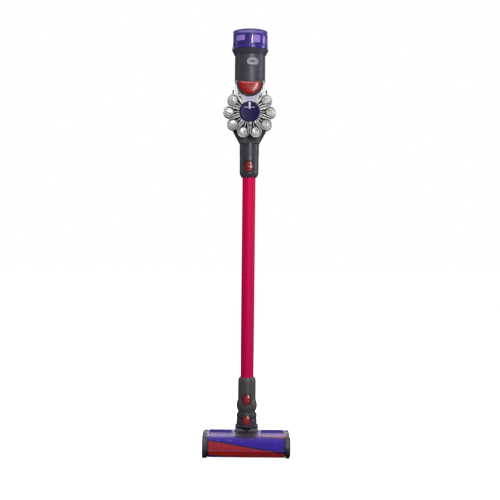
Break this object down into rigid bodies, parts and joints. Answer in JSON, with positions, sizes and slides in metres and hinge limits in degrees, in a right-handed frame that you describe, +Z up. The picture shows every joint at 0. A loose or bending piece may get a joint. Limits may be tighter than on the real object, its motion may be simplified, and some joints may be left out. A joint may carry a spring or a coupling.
{
  "type": "cordless stick vacuum",
  "caption": "Upright cordless stick vacuum with cyclone pack, clear bin, filter cap, slim wand and a wide soft-roller floor head on a tilting neck.",
  "frame": {"origin": "centre of the floor footprint, on the floor under the machine's box", "axes": "+Z up along the wand, +Y out of the battery's back face towards the wall dock, -Y the face with the cyclones, +X to the right seen from the front"},
  "size_m": [0.25, 0.208, 1.216],
  "materials": {
    "graphite_shell": "satin moulded",
    "black_plastic": "satin moulded",
    "roller_core_plastic": "moulded",
    "silver_plastic": "metallised gloss",
    "smoke_clear": "clear gloss",
    "bin_clear": "clear gloss",
    "hood_clear": "clear violet gloss",
    "filter_clear": "tinted gloss",
    "badge_grey": "satin",
    "red_plastic": "gloss",
    "indigo_plastic": "satin",
    "violet_plastic": "satin",
    "magenta_tube": "anodised satin",
    "filter_felt": "pleated felt",
    "roller_pile": "soft woven nap",
    "soft_rubber": "matte",
    "bare_steel": "machined",
    "alloy_can": "drawn",
    "circuit_board": "solder mask"
  },
  "bodies": {
    "main_body": {"inlet_duct": "graphite_shell", "cyclone_base": "graphite_shell", "cyclone_manifold": "silver_plastic", "outer_cyclones": "silver_plastic", "cyclone_caps": "smoke_clear", "inner_cyclones": "silver_plastic", "shroud": "silver_plastic", "fines_tube": "filter_clear", "prefilter_well": "black_plastic", "crossover_duct": "silver_plastic", "release_bezel": "black_plastic", "motor_housing": "graphite_shell", "exhaust_collar": "graphite_shell", "motor_can": "alloy_can", "handle_shell_left": "graphite_shell", "handle_shell_right": "graphite_shell", "control_board": "circuit_board", "battery_case": "graphite_shell", "battery_cells": "alloy_can", "battery_screws": "bare_steel", "charge_socket": "black_plastic", "oval_badge": "badge_grey"},
    "trigger": {"trigger": "red_plastic"},
    "max_button": {"max_button": "red_plastic"},
    "bin_release": {"bin_release_button": "red_plastic", "release_rod": "red_plastic"},
    "impeller": {"impeller": "black_plastic"},
    "prefilter": {"prefilter_cap": "indigo_plastic", "prefilter_sock": "filter_felt"},
    "exhaust_filter": {"postfilter_cap": "filter_clear", "postfilter_media": "filter_felt", "postfilter_frame": "black_plastic"},
    "bin": {"clear_bin": "bin_clear"},
    "bin_flap": {"bin_flap": "bin_clear", "flap_seal": "soft_rubber"},
    "wand": {"wand_tube": "magenta_tube", "wand_upper_cuff": "graphite_shell", "wand_lower_cuff": "graphite_shell"},
    "wand_upper_button": {"wand_upper_button": "red_plastic"},
    "wand_lower_button": {"wand_lower_button": "red_plastic"},
    "neck": {"neck_cuff": "graphite_shell"},
    "neck_button": {"neck_button": "red_plastic"},
    "yoke": {"neck_yoke": "black_plastic", "pivot_pins": "bare_steel"},
    "floor_head": {"head_hood": "hood_clear", "chamber_wall": "violet_plastic", "rear_pods": "violet_plastic", "sole_plate": "black_plastic", "end_frame_left": "graphite_shell", "end_frame_right": "graphite_shell", "belt_cover": "black_plastic", "brush_motor": "alloy_can", "wheel_axles": "bare_steel", "drive_belt": "soft_rubber"},
    "end_cap": {"roller_end_cap": "black_plastic"},
    "roller": {"roller_core": "roller_core_plastic", "roller_nap": "roller_pile"},
    "motor_pulley": {"motor_pulley": "bare_steel"},
    "wheel_left": {"wheel_left": "soft_rubber"},
    "wheel_right": {"wheel_right": "soft_rubber"}
  },
  "joints": [
    {"name": "trigger_pull", "type": "hinge", "parent": "main_body", "child": "trigger", "pos_m": [0, 0.0035, 1.107], "axis": [1, 0, 0], "range_deg": [0, 10], "stiffness_Nm_per_rad": 0.6, "springref_deg": -20.05},
    {"name": "max_button_press", "type": "slide", "parent": "main_body", "child": "max_button", "axis": [0, 0, -1], "range_m": [0, 0.002], "stiffness_N_per_m": 600, "springref_m": -0.001},
    {"name": "bin_release_press", "type": "slide", "parent": "main_body", "child": "bin_release", "axis": [0, 1, 0], "range_m": [0, 0.0033], "stiffness_N_per_m": 800, "springref_m": -0.001},
    {"name": "impeller_spin", "type": "hinge", "parent": "main_body", "child": "impeller", "pos_m": [0, -0.0525, 1.098], "axis": [0, 0, 1], "continuous": true},
    {"name": "prefilter_pull", "type": "slide", "parent": "main_body", "child": "prefilter", "axis": [0, -1, 0], "range_m": [0, 0.05]},
    {"name": "exhaust_filter_lift", "type": "slide", "parent": "main_body", "child": "exhaust_filter", "axis": [0, 0, 1], "range_m": [0, 0.05]},
    {"name": "bin_slide", "type": "slide", "parent": "main_body", "child": "bin", "axis": [0, 1, 0], "range_m": [0, 0.13]},
    {"name": "flap_open", "type": "hinge", "parent": "bin", "child": "bin_flap", "pos_m": [0, 0.0965, 0.9225], "axis": [-1, 0, 0], "range_deg": [0, 105]},
    {"name": "wand_pull", "type": "slide", "parent": "main_body", "child": "wand", "axis": [0, 0, -1], "range_m": [0, 0.05]},
    {"name": "wand_upper_button_press", "type": "slide", "parent": "wand", "child": "wand_upper_button", "axis": [0, 1, 0], "range_m": [0, 0.0024], "stiffness_N_per_m": 500, "springref_m": -0.001},
    {"name": "wand_lower_button_press", "type": "slide", "parent": "wand", "child": "wand_lower_button", "axis": [0, 1, 0], "range_m": [0, 0.0024], "stiffness_N_per_m": 500, "springref_m": -0.001},
    {"name": "head_pull", "type": "slide", "parent": "wand", "child": "neck", "axis": [0, 0, -1], "range_m": [0, 0.05]},
    {"name": "neck_button_press", "type": "slide", "parent": "neck", "child": "neck_button", "axis": [0, 1, 0], "range_m": [0, 0.0024], "stiffness_N_per_m": 500, "springref_m": -0.001},
    {"name": "neck_swivel", "type": "hinge", "parent": "neck", "child": "yoke", "pos_m": [0, -0.0075, 0.08], "axis": [0, 0, 1], "range_deg": [-70, 70]},
    {"name": "head_pitch", "type": "hinge", "parent": "yoke", "child": "floor_head", "pos_m": [0, -0.0075, 0.065], "axis": [1, 0, 0], "range_deg": [0, 80]},
    {"name": "end_cap_turn", "type": "hinge", "parent": "floor_head", "child": "end_cap", "pos_m": [0.117, -0.0675, 0.03], "axis": [1, 0, 0], "range_deg": [0, 45]},
    {"name": "roller_spin", "type": "hinge", "parent": "floor_head", "child": "roller", "pos_m": [0, -0.0675, 0.03], "axis": [1, 0, 0], "continuous": true},
    {"name": "brush_motor_spin", "type": "hinge", "parent": "floor_head", "child": "motor_pulley", "pos_m": [-0.112, 0.0005, 0.034], "axis": [1, 0, 0], "continuous": true},
    {"name": "wheel_left_spin", "type": "hinge", "parent": "floor_head", "child": "wheel_left", "pos_m": [-0.08, 0.0165, 0.009], "axis": [1, 0, 0], "continuous": true},
    {"name": "wheel_right_spin", "type": "hinge", "parent": "floor_head", "child": "wheel_right", "pos_m": [0.08, 0.0165, 0.009], "axis": [1, 0, 0], "continuous": true}
  ],
  "couplings": [
    {"joint": "brush_motor_spin", "follows": "roller_spin", "ratio": 2}
  ]
}
